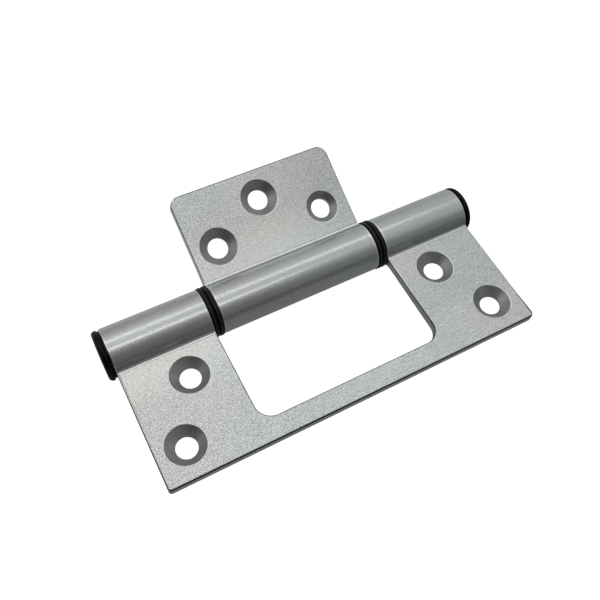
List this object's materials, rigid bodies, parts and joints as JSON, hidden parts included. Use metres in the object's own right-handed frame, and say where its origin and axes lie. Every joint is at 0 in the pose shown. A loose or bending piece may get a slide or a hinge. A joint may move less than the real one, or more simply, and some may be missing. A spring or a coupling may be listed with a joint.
{
  "type": "shower door hinge",
  "caption": "Flush door hinge: a small leaf folds into the window of a larger leaf about a bushed, end-capped barrel, with countersunk screw holes.",
  "frame": {"origin": "on the hinge's swing axis, midway along the barrel", "axes": "+X along the barrel; the large leaf lies flat towards -Y; the small leaf lies towards +Y, raised 23 degrees; +Z is the side that the screw heads sit in"},
  "size_m": [0.1302, 0.0816, 0.0242],
  "materials": {
    "aluminium": "satin",
    "steel": "drawn",
    "black_plastic": "satin"
  },
  "bodies": {
    "frame_side": {"large_leaf": "aluminium", "pin": "steel", "bush_left_outer": "black_plastic", "bush_right_outer": "black_plastic", "cap_left": "black_plastic", "cap_right": "black_plastic"},
    "door_side": {"small_leaf": "aluminium", "bush_left_inner": "black_plastic", "bush_right_inner": "black_plastic"}
  },
  "joints": [
    {"name": "door_swing", "type": "hinge", "parent": "frame_side", "child": "door_side", "pos_m": [0, 0, 0], "axis": [1, 0, 0], "range_deg": [-23, 157]}
  ]
}
